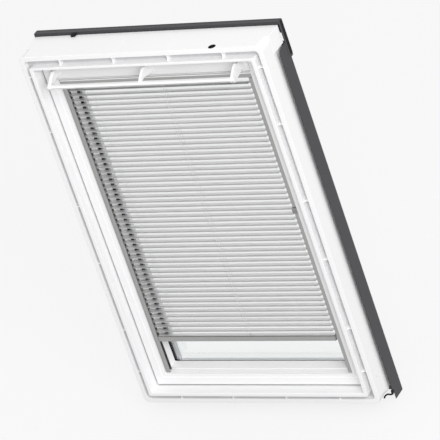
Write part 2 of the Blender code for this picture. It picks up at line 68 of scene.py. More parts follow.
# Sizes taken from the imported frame
FRAME_HALF, FRAME_BACK, FRAME_TOP = node_box("outer_frame")[1]
COVER_LOW, COVER_HIGH = node_box("frame_cladding")
SASH_LOW, SASH_HIGH = node_box("sash_cladding")
SASH_HALF, SASH_BOTTOM, SASH_TOP = SASH_HIGH[0], SASH_LOW[2], SASH_HIGH[2]
GLASS_LOW, GLASS_HIGH = node_box("glass_unit")
HEAD_LOW, HEAD_HIGH = node_box("headrail")
RAIL_LOW, RAIL_HIGH = node_box("guide_rail_right")
SLIDER_LOW, SLIDER_HIGH = node_box("tilt_slider")
LIFT_RAIL_LOW, LIFT_RAIL_HIGH = node_box("bottom_rail")
SLAT_BOX = [node_box(f"slat_{n:02d}") for n in range(1, 50)]
PIVOT = (75.0, FRAME_TOP / 2)  # depth and height

# Frame moulding: insets run inwards from its outer edges, depths back from the lip
WALL_FRONT = 8.0  # depth of the outer wall's front edge
WALL = 14.0  # thickness of the outer wall
GROOVE_END = 28.0  # inset of the lining groove's inner wall
GROOVE_END_TOP = 31.7  # the same along the top
GROOVE_DEPTH = 26.0
OPENING = 40.0  # inset of the opening
TURN_START = 50.0  # depths between which the side walls turn in
TURN_END = 90.0
TURN_INSET = 8.0
FRONT_CORNER = 20.0
GROOVE_CORNER = 12.0
LEDGE_CORNER = 8.0
BACK_CORNER = 2.5
INNER_CORNER = 2.5
OPENING_CORNER = 7.0
WEB_WIDTH = 3.2
TOP_WEBS = (-262.0, -89.0, 87.0, 262.0)  # x of the webs in the top and bottom groove
SIDE_WEBS = (108.0, 254.0, 487.0, 681.0, 930.0, 1111.0)  # z of the webs in the side grooves
TOP_RIBS = (-77.0, 93.0)  # x of the ribs on the top face
VENT_HOLE = (232.0, 21.0, 11.0)  # centre x and depth, and radius
VENT_HOLE_SUNK = 10.0
PIVOT_RADIUS = 7.0
PIVOT_END = 356.0  # x of the pins' outer ends
PIVOT_PLATE_STRETCH = 1.6

# Covers of folded sheet
COVER_SHEET = 1.6
COVER_FRONT = 80.5  # depth of the side covers' front edge
COVER_REACH = 4.0  # how far they stand out beyond the frame
FLANGE_BACK = COVER_HIGH[1] - 9.5

# Sash moulding: faces are insets from its outer edges
STILE_FACE = 36.5
SILL_FACE = 34.0
HEAD_FACE = 52.5
SASH_FRONT = 38.0
SASH_STEP = 2.2  # how far the inner band of the face lies back
SHELF_DEPTH = 60.0  # the guide rails lie against this shelf
GLASS_SEAT = 87.7
SASH_BACK = 112.0
PANE = 4.0

# Vent flap
FLAP_HALF = 312.5
FLAP_RECESS_HALF = 314.0
FLAP_BOTTOM = 1084.5
FLAP_TOP = 1133.5
FLAP_FRONT = 38.5
FLAP_BACK = 46.5
FLAP_PIN = (44.0, 1089.0)  # depth and height
FLAP_PIN_START = 300.0  # x of the pins' ends
FLAP_PIN_END = 317.0

# Control bar
BAR_CENTRE = (-26.0, 1099.0)  # depth and height
BAR_REACH = (9.0, 5.5)  # half of its depth and of its height
BAR_HALF = 300.0
END_ARM = 12.0  # widths of the arms
MIDDLE_ARM = 7.5
ARM_TOP = 1129.0
ARM_WALL = 3.6
# How far an arm hooks round below the bar, then its heel and its crook as (depth, height)
END_ARM_SHAPE = (10.5, (24.0, 1100.0), (2.0, 1097.0))
MIDDLE_ARM_SHAPE = (4.0, (22.0, 1097.0), (-10.0, 1110.0))

# Slats
SLAT_WIDTH = 20.0
SLAT_CROWN = 1.6  # how high the arc across a slat rises
SLAT_THICK = 0.45
SLAT_TILT = 5.0  # degrees, at rest
SLAT_HALF = 291.5
SLAT_DEPTH = 53.0
LIFT_TRAVEL = 760.0  # how far the bottom rail rises

# Cords
CORD_X = 13.0
CORD_RADIUS = 0.35
CORD_SLOT = (1.0, 5.8)  # half of its width and of its depth
STRING_RADIUS = CORD_RADIUS * 0.7
STRING_REACH = 10.9  # from the lift cord to the ladder's strings

# Nearly all values of a noise texture lie between these
NOISE_LOW, NOISE_HIGH = 0.3, 0.7

# A rounded corner takes up at most this share of an edge
EDGE_SHARE = 0.48

# Faces that meet at more degrees than this show a crease
CREASE_ANGLE = 32


def to_row(points):
    """Millimetres from the lip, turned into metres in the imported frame."""
    moved = np.array(points, float) * MM
    moved[:, 1] += LIP_Y
    return moved


def bend(start, pull, end, t):
    """The curve (1-t)^2 A + 2t(1-t) C + t^2 B, which runs from A to B and is pulled towards C."""
    return (1 - t) ** 2 * start + 2 * t * (1 - t) * pull + t**2 * end


def soften(corners, radii, steps=3):
    """Rounds a closed outline: near each corner it bends between the two places that lie one
    radius away along the edges that meet there."""
    corners = np.array(corners, float)
    radii = np.broadcast_to(np.asarray(radii, float), len(corners))[:, None]

    def toward(neighbour):
        """The place one radius from each corner, on the edge towards a neighbour."""
        edge = neighbour - corners
        length = np.hypot(edge[:, :1], edge[:, -1:])
        return corners + edge * np.minimum(radii / length, EDGE_SHARE)

    t = np.linspace(0, 1, steps + 1)[None, :, None]
    first = toward(np.roll(corners, 1, axis=0))[:, None]
    last = toward(np.roll(corners, -1, axis=0))[:, None]
    return bend(first, corners[:, None], last, t).reshape(-1, corners.shape[1])


def shrink(outline, distance):
    """Moves each point inwards by a distance, square to the line between its neighbours."""
    before, after = np.roll(outline, 1, axis=0), np.roll(outline, -1, axis=0)
    along = after - before
    along /= np.linalg.norm(along, axis=1, keepdims=True)
    area = np.sum(outline[:, 0] * after[:, 1] - after[:, 0] * outline[:, 1])
    outward = np.stack([along[:, 1], -along[:, 0]], axis=1) * np.sign(area)
    return outline - distance * outward


def skin(stations, closed=False):
    """Quads between neighbouring outlines. A closed run joins its last outline to its first, an
    open one gets a cap at each end. The volume inside, a sixth of the sum of p . (q x r) over
    each face's fan of triangles, tells which way round makes the faces look outwards."""
    points = stations.reshape(-1, 3)
    count, around = stations.shape[:2]
    grid = np.arange(count * around).reshape(count, around)
    here = grid if closed else grid[:-1]
    there = np.roll(grid, -1, axis=0) if closed else grid[1:]
    quads = np.stack([here, np.roll(here, -1, 1), np.roll(there, -1, 1), there], axis=-1).reshape(-1, 4)
    caps = [] if closed else [grid[0][::-1], grid[-1]]
    fans = [points[quads].swapaxes(0, 1), *(points[cap] for cap in caps)]
    volume = sum(np.sum(fan[0] * np.cross(fan[1:-1], fan[2:])) for fan in fans)
    turn = 1 if volume > 0 else -1
    return points, [face[::turn].tolist() for face in (*quads, *caps)]


def along_axis(outlines, positions, axis):
    """Places outlines across an axis: (depth, z) across x, (x, z) across y, (x, depth) across z."""
    order = {"x": (2, 0, 1), "y": (0, 2, 1), "z": (0, 1, 2)}[axis]
    spread = np.broadcast_to(np.asarray(positions, float)[:, None, None], outlines.shape[:2] + (1,))
    return np.concatenate([outlines, spread], axis=2)[:, :, order]


def length_of(outline, axis, start, end, ease=0.6, steps=3):
    """An outline carried straight along an axis. Its ends are eased: at angle a of a quarter
    turn the outline is drawn in by ease (1 - sin a) and lies ease (1 - cos a) from the end."""
    turn = np.linspace(0, math.pi / 2, steps + 1)
    drawn_in = ease * (1 - np.sin(turn))
    step_in = ease * (1 - np.cos(turn))
    outlines = np.array([shrink(outline, d) for d in drawn_in])
    outlines = np.concatenate([outlines, outlines[::-1]])
    positions = np.concatenate([start + step_in, (end - step_in)[::-1]])
    return skin(along_axis(outlines, positions, axis))


def rectangle(low, high):
    """The four corners of an upright rectangle, in order."""
    return [(low[0], low[1]), (high[0], low[1]), (high[0], high[1]), (low[0], high[1])]


def block(low, high, radius, axis="z"):
    """A box with every edge rounded, as an eased length of a softened rectangle."""
    picks = {"x": (1, 2, 0), "y": (0, 2, 1), "z": (0, 1, 2)}[axis]
    low, high = [low[i] for i in picks], [high[i] for i in picks]
    outline = soften(rectangle(low, high), radius)
    return length_of(outline, axis, low[2], high[2], 0.6 * radius)


def block_beside(side, low, high, radius, axis="z"):
    """A block given as it lies on the right, which is mirrored to the left for side -1."""
    left, right = sorted((side * low[0], side * high[0]))
    return block((left, *low[1:]), (right, *high[1:]), radius, axis)


def oval(half_first, half_second, centre=(0.0, 0.0), sides=32, power=1.0):
    """Points of an oval: cos and sin of the turn, each raised to a power with its sign kept."""
    turn = np.linspace(0, 2 * math.pi, sides, endpoint=False)
    first = np.sign(np.cos(turn)) * np.abs(np.cos(turn)) ** power
    second = np.sign(np.sin(turn)) * np.abs(np.sin(turn)) ** power
    return np.stack([centre[0] + half_first * first, centre[1] + half_second * second], axis=1)


def turned(profile, axis, centre, sides=32, stretch=1.0, closed=False):
    """A lathe shape: each profile row is (place along the axis, radius). A stretch makes it oval
    in its second direction, and a closed profile goes round a hole."""
    outlines = np.array([oval(radius, radius * stretch, centre, sides) for place, radius in profile])
    return skin(along_axis(outlines, [place for place, radius in profile], axis), closed)


def turned_pair(profile, centre, **settings):
    """A lathe shape about the x axis, as its mirror image on the left and as given on the right."""
    mirrored = [[(side * x, radius) for x, radius in profile] for side in (-1, 1)]
    return [turned(rows, "x", centre, **settings) for rows in mirrored]


def mitred(rows, radii, half, bottom, top, corner=INNER_CORNER, seam=0.0, steps=4):
    """A four-sided frame. A row is (side, bottom, top inset, depth). At each corner of the frame
    a row bends between the places a corner size away along the two runs. A seam draws the
    middle of that corner in, as a fine mitre groove."""
    wide = np.insert(np.array(rows, float), 3, corner, axis=1)
    side, low, high, size, depth = soften(wide, radii).T
    flat = np.stack([side, depth], axis=1)
    sink = (flat - shrink(flat, seam)).T
    stations = []
    for across, up, flat_first in ((-1, -1, 0), (1, -1, 1), (1, 1, 0), (-1, 1, 1)):
        x = across * (half - side)
        z = top - high if up > 0 else bottom + low
        flat_end, upright_end = np.array([x - across * size, z]), np.array([x, z - up * size])
        start, end = (flat_end, upright_end) if flat_first else (upright_end, flat_end)
        for t in np.linspace(0, 1, steps + 1):
            place = bend(start, np.array([x, z]), end, t)
            middle = abs(t - 0.5) < 0.01
            dip = sink * middle
            station = [place[0] + across * dip[0], depth - dip[1], place[1] + up * dip[0]]
            stations.append(np.stack(station, axis=1))
    return skin(np.array(stations), closed=True)


def band(outer, inner, depths, radius, edges, corner):
    """A mitred frame of rectangular section, between two rows of insets and two depths. Its
    edges are half its width, its bottom and its top."""
    near, far = depths
    rows = [(*outer, near), (*inner, near), (*inner, far), (*outer, far)]
    return mitred(rows, radius, *edges, corner)


def swept(path, radii, across, sides=16):
    """A round bar along a flat path: rings square to the path, whose plane is across a vector."""
    path = np.array(path, float)
    tangent = np.gradient(path, axis=0)
    tangent /= np.linalg.norm(tangent, axis=1, keepdims=True)
    across = np.broadcast_to(np.array(across, float), tangent.shape)
    normal = np.cross(tangent, across)
    turn = np.linspace(0, 2 * math.pi, sides, endpoint=False)[None, :, None]
    radii = np.broadcast_to(radii, len(path))[:, None, None]
    rings = path[:, None] + radii * (np.cos(turn) * normal[:, None] + np.sin(turn) * across[:, None])
    return skin(rings)


def curve_through(points, count):
    """A smooth path: a Catmull-Rom curve through the given points."""
    points = np.array(points, float)
    padded = np.vstack([2 * points[0] - points[1], points, 2 * points[-1] - points[-2]])
    place = np.linspace(0, len(points) - 1 - 1e-9, count)
    k = place.astype(int)
    t = (place - k)[:, None]
    a, b, c, d = (padded[k + i] for i in range(4))
    return 0.5 * (2 * b + (c - a) * t + (2 * a - 5 * b + 4 * c - d) * t**2 + (3 * b - a - 3 * c + d) * t**3)


def new_mesh(name, parts):
    """One mesh from (material, shape) pairs, smooth apart from its creases."""
    points, faces, owners, materials = [], [], [], []
    for material, (some_points, some_faces) in parts:
        if material not in materials:
            materials.append(material)
        start = sum(len(block_points) for block_points in points)
        faces += [[start + i for i in face] for face in some_faces]
        owners += [materials.index(material)] * len(some_faces)
        points.append(some_points)
    mesh = bpy.data.meshes.new(name)
    mesh.from_pydata(to_row(np.concatenate(points)), [], faces)
    for material in materials:
        mesh.materials.append(material)
    mesh.polygons.foreach_set("material_index", owners)
    shade(mesh)
    return mesh


def shade(mesh):
    """Smooth shading, apart from the creases."""
    mesh.shade_smooth()
    mesh.set_sharp_from_angle(angle=math.radians(CREASE_ANGLE))


def cut(mesh, cutters, joined=()):
    """The mesh with some shapes joined to it, less the volume of each cutter, by exact Booleans."""
    body = bpy.data.objects.new("body", mesh)
    material = mesh.materials[0]
    tool_meshes = [new_mesh("tool", [(material, shape)]) for shape in (*joined, *cutters)]
    tools = [bpy.data.objects.new("tool", tool_mesh) for tool_mesh in tool_meshes]
    for item in (body, *tools):
        bpy.context.scene.collection.objects.link(item)
    for number, tool in enumerate(tools):
        step = body.modifiers.new("cut", "BOOLEAN")
        step.operation = "UNION" if number < len(joined) else "DIFFERENCE"
        step.solver, step.object = "EXACT", tool
    bpy.context.view_layer.update()
    made = bpy.data.meshes.new_from_object(body.evaluated_get(bpy.context.evaluated_depsgraph_get()))
    made.name = mesh.name
    for item in (body, *tools):
        bpy.data.objects.remove(item)
    shade(made)
    return made


def piece(name, mesh, body, replaces=()):
    """Shows a finished mesh, lets it ride on a body and hides the imported parts it stands in for."""
    made = bpy.data.objects.new(name, mesh)
    bpy.context.scene.collection.objects.link(made)
    weighted = made.modifiers.new("even shading", "WEIGHTED_NORMAL")
    weighted.keep_sharp = True
    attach(made, body)
    if replaces:
        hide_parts(*replaces)
    return made


def show(name, parts, body, replaces=()):
    """A piece from (material, shape) pairs, whose mesh has the same name."""
    return piece(name, new_mesh(name, parts), body, replaces)


# Materials


def linear(code):
    """An sRGB hex colour turned to linear RGBA."""
    parts = [int(code[i : i + 2], 16) / 255 for i in (1, 3, 5)]
    return (*[p / 12.92 if p <= 0.04045 else ((p + 0.055) / 1.055) ** 2.4 for p in parts], 1.0)


def per_metre(size_mm):
    """Texture scale that repeats once in a size given in millimetres."""
    return 1 / (size_mm * MM)


def add(tree, kind, inputs, **settings):
    """Adds a node with its settings; an input is a value or the socket that feeds it."""
    made = tree.nodes.new(kind)
    for key, value in settings.items():
        setattr(made, key, value)
    for key, value in inputs.items():
        if isinstance(value, bpy.types.NodeSocket):
            tree.links.new(value, made.inputs[key])
        else:
            made.inputs[key].default_value = value
    return made


def surface(name, colours, patch, roughness, grain, depth, stretch=(1, 1, 1), **sockets):
    """A Principled finish: two colours in soft patches, and a fine grain that sets both the
    roughness and the bump. Patch, grain and depth are in millimetres, stretch draws the grain
    out, and a socket of the shader takes a constant by its name."""
    made = bpy.data.materials.new(name)
    made.use_nodes = True
    tree = made.node_tree
    shader = tree.nodes["Principled BSDF"]
    place = add(tree, "ShaderNodeTexCoord", {}).outputs["Object"]
    patches = add(tree, "ShaderNodeTexNoise", {"Vector": place, "Scale": per_metre(patch), "Detail": 3.0})
    shades = {"Factor": patches.outputs["Fac"], "A": linear(colours[0]), "B": linear(colours[1])}
    blend = add(tree, "ShaderNodeMix", shades, data_type="RGBA")
    drawn = add(tree, "ShaderNodeMapping", {"Vector": place, "Scale": stretch}).outputs["Vector"]
    fine = add(tree, "ShaderNodeTexNoise", {"Vector": drawn, "Scale": per_metre(grain), "Detail": 4.0})
    spread = {"From Min": NOISE_LOW, "From Max": NOISE_HIGH, "To Min": roughness[0], "To Max": roughness[1]}
    rough = add(tree, "ShaderNodeMapRange", {"Value": fine.outputs["Fac"], **spread})
    relief = {"Height": fine.outputs["Fac"], "Distance": depth * MM, "Strength": 1.0}
    bump = add(tree, "ShaderNodeBump", relief)
    tree.links.new(blend.outputs["Result"], shader.inputs["Base Color"])
    tree.links.new(rough.outputs["Result"], shader.inputs["Roughness"])
    tree.links.new(bump.outputs["Normal"], shader.inputs["Normal"])
    for key, value in sockets.items():
        shader.inputs[key.replace("_", " ")].default_value = value
    return made


def polyurethane_lacquer():
    """Sprayed over a moulded frame: an even satin white with a faint orange peel."""
    return surface(
        "sprayed_polyurethane_lacquer",
        colours=("#F3F3F3", "#F0F0F1"),
        patch=160,
        roughness=(0.30, 0.38),
        grain=1.6,
        depth=0.006,
    )


def sash_lacquer():
    """The same spray on the sash, a little glossier where hands open it."""
    return surface(
        "sash_polyurethane_lacquer",
        colours=("#F0F0F0", "#EDEDEE"),
        patch=120,
        roughness=(0.28, 0.35),
        grain=1.6,
        depth=0.006,
    )


def powder_coat():
    """White powder coat on the aluminium bar: a fine pebble and a soft gloss."""
    return surface(
        "white_powder_coat",
        colours=("#EFEFEF", "#ECECEC"),
        patch=70,
        roughness=(0.28, 0.35),
        grain=0.9,
        depth=0.008,
    )


def grey_cover_lacquer():
    """Baked polyester lacquer on aluminium sheet: dark neutral grey with a dry, fine tooth."""
    return surface(
        "baked_polyester_lacquer",
        colours=("#303034", "#2C2C30"),
        patch=90,
        roughness=(0.42, 0.52),
        grain=0.7,
        depth=0.010,
    )


def anodised_aluminium():
    """Drawn and satin anodised: fine lines along the profile, pale grey metal."""
    return surface(
        "satin_anodised_aluminium",
        colours=("#ACACAB", "#A5A5A4"),
        patch=60,
        roughness=(0.34, 0.44),
        grain=0.8,
        depth=0.004,
        stretch=(0.02, 1, 0.02),
        Metallic=1.0,
    )


def slat_enamel():
    """Metallic enamel coil-coated on thin aluminium strip: silver grey, rolled smooth along its
    length, so that it mirrors the daylight behind it where it is seen at a low angle."""
    return surface(
        "metallic_coil_enamel",
        colours=("#E9E9E8", "#E5E5E4"),
        patch=45,
        roughness=(0.29, 0.33),
        grain=1.2,
        depth=0.0005,
        stretch=(0.2, 1, 1),
        Metallic=0.7,
    )


def epdm_rubber():
    """Extruded EPDM seal: near black and matt, with less shine than plastic."""
    return surface(
        "extruded_epdm_rubber",
        colours=("#131314", "#0F0F10"),
        patch=30,
        roughness=(0.66, 0.8),
        grain=0.6,
        depth=0.02,
        Specular_IOR_Level=0.25,
    )


def painted_groove_shade():
    """Painted shade for the lining groove's floor: a light grey, dull, with a fine grain."""
    return surface(
        "painted_groove_shade_grey",
        colours=("#C8C8CA", "#BEBEC0"),
        patch=14,
        roughness=(0.8, 0.92),
        grain=0.7,
        depth=0.05,
    )


def moulded_plastic():
    """Spark-eroded ABS moulding: mid grey with a fine even texture."""
    return surface(
        "moulded_abs",
        colours=("#97989A", "#8F9092"),
        patch=25,
        roughness=(0.45, 0.55),
        grain=0.5,
        depth=0.015,
    )


def zinc_plate():
    """Bright zinc on pressed steel: cool grey metal with a faint crystalline drift."""
    return surface(
        "zinc_plated_steel",
        colours=("#C6C8CB", "#B4B7BB"),
        patch=8,
        roughness=(0.29, 0.42),
        grain=0.9,
        depth=0.006,
        Metallic=1.0,
    )


def spacer_aluminium():
    """Roll-formed spacer between the panes: bright rolled aluminium."""
    return surface(
        "bright_rolled_aluminium",
        colours=("#D2D4D6", "#CACCCE"),
        patch=20,
        roughness=(0.3, 0.38),
        grain=0.6,
        depth=0.002,
        Metallic=1.0,
    )


def braided_cord():
    """Braided polyester cord: white, matt, with a fine braid."""
    return surface(
        "braided_polyester",
        colours=("#CFCFCD", "#BEBEBB"),
        patch=1.2,
        roughness=(0.7, 0.85),
        grain=0.5,
        depth=0.05,
    )


def float_glass():
    """Clear float glass, faintly cool at its edge; its face has a very slight roller wave."""
    return surface(
        "clear_float_glass",
        colours=("#FEFFFF", "#FDFEFE"),
        patch=300,
        roughness=(0.0, 0.01),
        grain=180,
        depth=0.01,
        Transmission_Weight=1.0,
        IOR=1.52,
    )


LACQUER = polyurethane_lacquer()
SASH_LACQUER = sash_lacquer()
POWDER = powder_coat()
COVER = grey_cover_lacquer()
ALUMINIUM = anodised_aluminium()
ENAMEL = slat_enamel()
RUBBER = epdm_rubber()
# Painted shade: a grey that darkens the floor of the lining groove where its shade falls.
GROOVE_SHADE = painted_groove_shade()
PLASTIC = moulded_plastic()
ZINC = zinc_plate()
SPACER = spacer_aluminium()
BRAID = braided_cord()
GLASS = float_glass()


# Outer frame


def frame_moulding():
    """Mitred sweep of the lip, the lining groove and the outer wall. The side walls turn in
    under their covers: the inset grows with the square of the way from where the turn starts."""
    rows = [
        (0, 0, 0, WALL_FRONT),
        (WALL, WALL, WALL, WALL_FRONT),
        (WALL, WALL, WALL, GROOVE_DEPTH),
        (GROOVE_END, GROOVE_END, GROOVE_END_TOP, GROOVE_DEPTH),
        (GROOVE_END, GROOVE_END, GROOVE_END_TOP, 0),
        (OPENING, OPENING, OPENING, 0),
        (OPENING, OPENING, OPENING, FRAME_BACK),
        (TURN_INSET, 0, 0, FRAME_BACK),
    ]
    radii = [1.6, 1.0, 0.8, 0.8, 1.4, 3.0, 0.8, 0.8]
    corner = [FRONT_CORNER] + [GROOVE_CORNER] * 2 + [LEDGE_CORNER] * 2 + [OPENING_CORNER] * 2 + [BACK_CORNER]
    for share in np.linspace(1, 0, 7):
        rows.append((TURN_INSET * share**2, 0, 0, TURN_START + share * (TURN_END - TURN_START)))
        radii.append(2.0)
        corner.append(BACK_CORNER + (FRONT_CORNER - BACK_CORNER) * (1 - share) ** 2)
    shape = mitred(rows, radii, FRAME_HALF, 0, FRAME_TOP, corner, steps=6)
    mesh = new_mesh("frame_moulding", [(LACQUER, shape)])
    x, depth, radius = VENT_HOLE
    ends = (FRAME_TOP - VENT_HOLE_SUNK, FRAME_TOP + 5)
    hole = turned([(z, radius) for z in ends], "z", (x, depth), sides=40)
    cutters = [hole, *socket_bores(), *bracket_marks()]
    solid = cut(mesh, cutters, [*back_shoulders(), *top_ribs()])
    piece("frame_moulding", solid, "frame", ["outer_frame"])


def socket_bores():
    """The bores in which the sash pivots turn, a little wider and deeper than the pins."""
    start, end, radius = FRAME_HALF - OPENING - 3, PIVOT_END + 1, PIVOT_RADIUS + 0.5
    return turned_pair([(start, radius), (end, radius)], PIVOT)


def back_shoulders():
    """Solid blocks at the top, which fill the back corners that the turned-in walls leave."""
    inner, outer, front, drop, inset = 365, 389.9, 60, 56, 0.1
    low = (inner, front, FRAME_TOP - drop)
    high = (outer, FRAME_BACK - inset, FRAME_TOP - inset)
    return [block_beside(side, low, high, radius=1.5) for side in (-1, 1)]


def top_ribs():
    """Two fine raised lines across the top face, from front to back."""
    half_width, rise, root = 0.9, 0.25, 3
    front, back = 12, FRAME_BACK - 4
    shapes = []
    for x in TOP_RIBS:
        low = (x - half_width, front, FRAME_TOP - root)
        high = (x + half_width, back, FRAME_TOP + rise)
        shapes.append(block(low, high, radius=0.3, axis="y"))
    return shapes


def bracket_marks():
    """Fine scored lines that place the mounting brackets near every corner, with a pilot hole each."""
    half_line, sunk, rounding = 0.6, 0.7, 0.3
    end_line, end_line_depth, end_hole = (284, 374), 16, (330, 27)
    side_lines, side_line_depth, side_hole_depth = ((34, 123), (FRAME_TOP - 129, FRAME_TOP - 34)), 57, 33
    cutters = []

    def pilot_hole(face, axis, centre):
        """A small bore, square to a face."""
        radius, reach = 1.8, 6
        ends = (face - reach, face + reach)
        cutters.append(turned([(place, radius) for place in ends], axis, centre, sides=20))

    for side in (-1, 1):
        for z in (0, FRAME_TOP):
            low = (end_line[0], end_line_depth - half_line, z - sunk)
            high = (end_line[1], end_line_depth + half_line, z + sunk)
            cutters.append(block_beside(side, low, high, rounding, "x"))
            pilot_hole(z, "z", (side * end_hole[0], end_hole[1]))
        for bottom, top in side_lines:
            low = (FRAME_HALF - sunk, side_line_depth - half_line, bottom)
            high = (FRAME_HALF + sunk, side_line_depth + half_line, top)
            cutters.append(block_beside(side, low, high, rounding))
            pilot_hole(side * FRAME_HALF, "x", (side_hole_depth, (bottom + top) / 2))
    return cutters


def groove_webs():
    """Thin ribs that bridge the lining groove. The front edge of each dips as the sine of half a
    turn over its length."""
    shapes = []
    share = np.linspace(0, 1, 9)
    sunk, dip, bite, half, ease = 0.6, 3.0, 0.5, WEB_WIDTH / 2, 0.5
    front = WALL_FRONT + sunk + dip * np.sin(math.pi * share)

    def web(start, end):
        """A web's outline between two walls of the groove, each a little way into the moulding."""
        across = start + (end - start) * share
        edge = np.stack([across, front], axis=1)
        back = [(across[-1], GROOVE_DEPTH + bite), (across[0], GROOVE_DEPTH + bite)]
        return np.vstack([edge, back])

    bottom_span = (WALL - bite, GROOVE_END + bite)
    top_span = (FRAME_TOP - GROOVE_END_TOP - bite, FRAME_TOP - WALL + bite)
    for x in TOP_WEBS:
        for span in (bottom_span, top_span):
            shapes.append(length_of(web(*span)[:, ::-1], "x", x - half, x + half, ease))
    for z in SIDE_WEBS:
        for side in (-1, 1):
            outline = web(side * (FRAME_HALF - WALL + bite), side * (FRAME_HALF - GROOVE_END - bite))
            shapes.append(length_of(outline, "z", z - half, z + half, ease))
    show("groove_webs", [(LACQUER, s) for s in shapes], "frame")


def groove_shade_strip():
    """A mitred grey strip along the bottom of the lining groove: painted shade, which darkens the groove as
    its shade would.
    """
    # The grey strip is painted shade: the groove's white floor is darkened here to stand for the shade in
    # it.
    depths, bite = (GROOVE_DEPTH - 1.4, GROOVE_DEPTH + 0.6), 0.4
    outer, inner = (WALL - bite,) * 3, (GROOVE_END + bite, GROOVE_END + bite, GROOVE_END_TOP + bite)
    strip = band(outer, inner, depths, 0.5, (FRAME_HALF, 0, FRAME_TOP), corner=GROOVE_CORNER / 2)
    show("groove_shade_strip", [(GROOVE_SHADE, strip)], "frame")


def vent_hole_liner():
    """A rubber ring pressed into the hole of the top face, round a sunk plate, which sags by
    1 - s^2 of its full sag at a share s of its radius."""
    x, depth, radius = VENT_HOLE
    low, high = FRAME_TOP - VENT_HOLE_SUNK + 0.2, FRAME_TOP + 0.2
    outer, plate_radius = radius - 0.1, radius - 2.6
    ring = [
        (low, outer),
        (high - 0.5, outer),
        (high, radius - 0.6),
        (high - 0.4, radius - 2.2),
        (low, radius - 2.4),
    ]
    cup = turned(ring, "z", (x, depth), sides=40, closed=True)
    share = np.linspace(1, 0.02, 9)
    plate_rim, sag = high - 3.4, 1.2
    dish = [(low + 0.2, plate_radius), *zip(plate_rim - sag * (1 - share**2), plate_radius * share)]
    plate = turned(dish, "z", (x, depth), sides=40)
    show("vent_hole_liner", [(RUBBER, cup), (RUBBER, plate)], "frame")


def cover_bumper():
    """The small black stop under the hood's front edge."""
    low, high = (-267, 108.5, FRAME_TOP + 0.2), (-253.5, 121.7, FRAME_TOP + 6.5)
    show("cover_bumper", [(RUBBER, block(low, high, radius=2.4, axis="x"))], "frame")


def pivot_steel(name, body, wall, heights, rim, bore):
    """Oval plates of pressed steel round the two pivots, turned about the pivots' axis. Heights
    are those of root, shoulder and face over a wall, and count away from the window's middle."""
    bevel = 0.6
    root, shoulder, face = (wall + height for height in heights)
    profile = [(root, rim), (shoulder, rim), (face, rim - bevel), (face, bore), (root, bore)]
    shapes = turned_pair(profile, PIVOT, sides=48, stretch=PIVOT_PLATE_STRETCH, closed=True)
    show(name, [(ZINC, shape) for shape in shapes], body)


def pivot_sockets():
    """The plates in the frame's opening, round the sockets of the sash pivots."""
    pivot_steel("pivot_sockets", "frame", FRAME_HALF - OPENING, (0, -0.8, -1.2), rim=27, bore=8.4)


# Covers on the outside of the frame


def cover_hood():
    """The hood's section, carried over the whole width and eased at its ends."""
    front, back, top = FRAME_BACK + 0.3, COVER_HIGH[1] - 0.7, COVER_HIGH[2]
    skirt, groove = FRAME_TOP - 36, 0.9
    outline = [
        (front, FRAME_TOP + 0.3),
        (front, top),
        (front + 6, top),
        (front + 7, top - groove),
        (back - 4, top - groove),
        (back - 3, top),
        (back, top),
        (back, skirt),
        (back - COVER_SHEET, skirt),
        (back - COVER_SHEET, FRAME_TOP + 4),
        (back - 4, FRAME_TOP + 0.3),
    ]
    radii = [0.6, 2.2, 0.6, 0.6, 0.6, 0.6, 2.6, 0.4, 0.4, 2, 2]
    half = FRAME_HALF + COVER_REACH
    shape = length_of(soften(outline, radii), "x", -half, half, ease=0.35)
    show("cover_hood", [(COVER, shape)], "frame", ["frame_cladding"])


def hood_arm(name, side):
    """The hood's end plate with its arm down the side cover, and a near-black strip along its back that
    stands for the shade at that edge: painted shade.
    """
    inner, outer = FRAME_HALF + 2.4, COVER_HIGH[0] - 0.6
    bottom, top = FRAME_TOP - 107, COVER_HIGH[2]
    front, back = FRAME_BACK + 0.8, COVER_HIGH[1]
    outline = soften(rectangle((front, bottom), (back, top)), [9, 5, 3, 6], steps=5)
    shape = length_of(outline, "x", *sorted((side * inner, side * outer)), ease=0.8)
    # The near-black strip along the arm's back edge is painted shade, in the rubber finish.
    low, high = (outer - 0.4, back - 12.5, bottom + 8), (COVER_HIGH[0], back - 0.6, top - 2)
    strip = block_beside(side, low, high, radius=0.3)
    show(name, [(COVER, shape), (RUBBER, strip)], "frame")


def cover_side(name, side):
    """A folded sheet beside the frame. Near its top the front edge runs back in a quarter
    circle, and below the frame it steps back to the foot."""
    outer, inner, back = FRAME_HALF + COVER_REACH, FRAME_HALF - 38, FLANGE_BACK
    wall, flange = outer - COVER_SHEET, back - COVER_SHEET
    foot_front, foot_top, step_top = 86.0, -11.0, -9.0
    top, bottom, radius = FRAME_TOP - 57, COVER_LOW[2], 22.0
    turn = np.linspace(0, math.pi / 2, 9)
    foot = [bottom, bottom + 0.5, foot_top]
    z = np.concatenate([foot, [step_top], top - radius + radius * np.sin(turn)])
    edge = np.concatenate([[foot_front] * 3, [COVER_FRONT], COVER_FRONT + radius * (1 - np.cos(turn))])

    def outline(start):
        """The folded sheet's section where its front edge lies at a given depth."""
        rows = [(wall, start), (outer, start), (outer, back), (inner, back), (inner, flange), (wall, flange)]
        return soften(rows, [0.6, 0.6, 2.6, 0.4, 0.4, 1.6]) * (side, 1)

    stations = along_axis(np.array([outline(start) for start in edge]), z, "z")
    show(name, [(COVER, skin(stations))], "frame")


def cover_bottom():
    """The folded apron below the opening, between the two feet."""
    front, back = FRAME_BACK + 0.3, COVER_HIGH[1] - 11.6
    top, bottom = 38, COVER_LOW[2] + 0.7
    inside, under = back - COVER_SHEET, top - COVER_SHEET
    rows = [(front, top), (back, top), (back, bottom), (inside, bottom), (inside, under), (front, under)]
    outline = soften(rows, [0.4, 2.4, 0.4, 0.4, 1.2, 0.4])
    half = FRAME_HALF + 2
    shape = length_of(outline, "x", -half, half, ease=0.25)
    show("cover_bottom", [(COVER, shape)], "frame")


